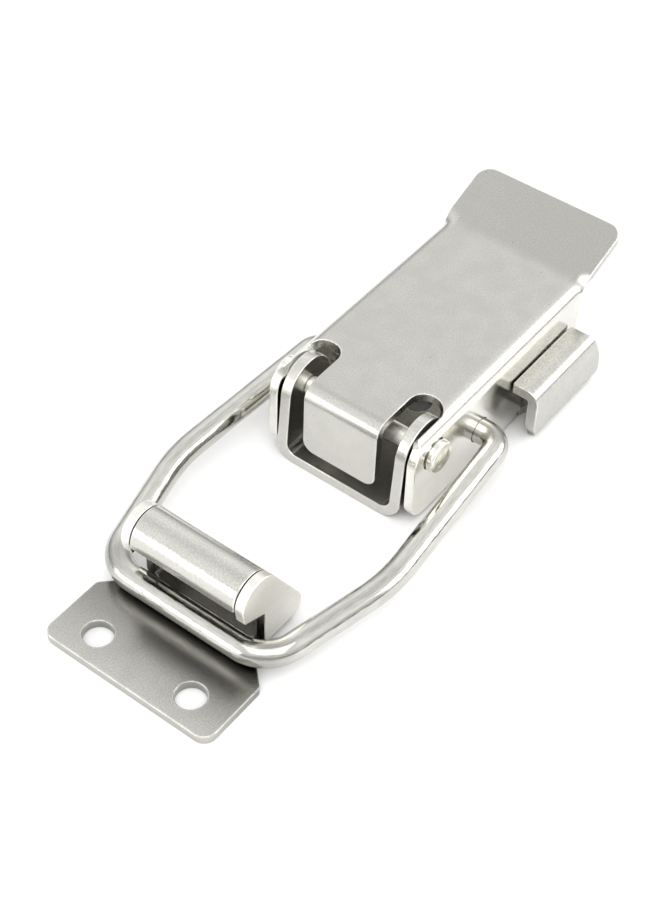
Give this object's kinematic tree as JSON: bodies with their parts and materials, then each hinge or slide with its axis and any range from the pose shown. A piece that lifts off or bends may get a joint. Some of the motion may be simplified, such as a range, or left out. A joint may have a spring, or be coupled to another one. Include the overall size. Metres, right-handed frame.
{
  "type": "toggle latch",
  "caption": "Over-centre toggle latch in folded sheet steel: channel base, lever with turned-up tail, wire bail and a separate hooked keeper plate.",
  "frame": {"origin": "on the mounting surface, the underside of the frame, straight below the lever's pivot axis", "axes": "+X from the keeper towards the lever's tail, +Z away from the mounting surface, +Y across, away from the side guard"},
  "size_m": [0.105, 0.0426, 0.0207],
  "materials": {
    "frame_steel": "polished",
    "rivet_steel": "polished",
    "lever_steel": "satin top, polished side walls",
    "bail_steel": "mirror polished wire",
    "keeper_steel": "satin"
  },
  "bodies": {
    "frame": {"frame": "frame_steel", "pivot_rivet": "rivet_steel"},
    "lever": {"lever": "lever_steel"},
    "bail": {"bail": "bail_steel"},
    "keeper": {"keeper": "keeper_steel"}
  },
  "joints": [
    {"name": "lever_hinge", "type": "hinge", "parent": "frame", "child": "lever", "pos_m": [0, 0, 0.0114], "axis": [0, -1, 0], "range_deg": [0, 100]},
    {"name": "bail_hinge", "type": "hinge", "parent": "lever", "child": "bail", "pos_m": [0.0122, 0, 0.0066], "axis": [0, -1, 0], "range_deg": [-80, 0]},
    {"name": "keeper_slide", "type": "slide", "parent": "frame", "child": "keeper", "axis": [1, 0, 0], "range_m": [0, 0.01]}
  ],
  "couplings": [
    {"joint": "bail_hinge", "follows": "lever_hinge", "ratio": -0.8}
  ]
}
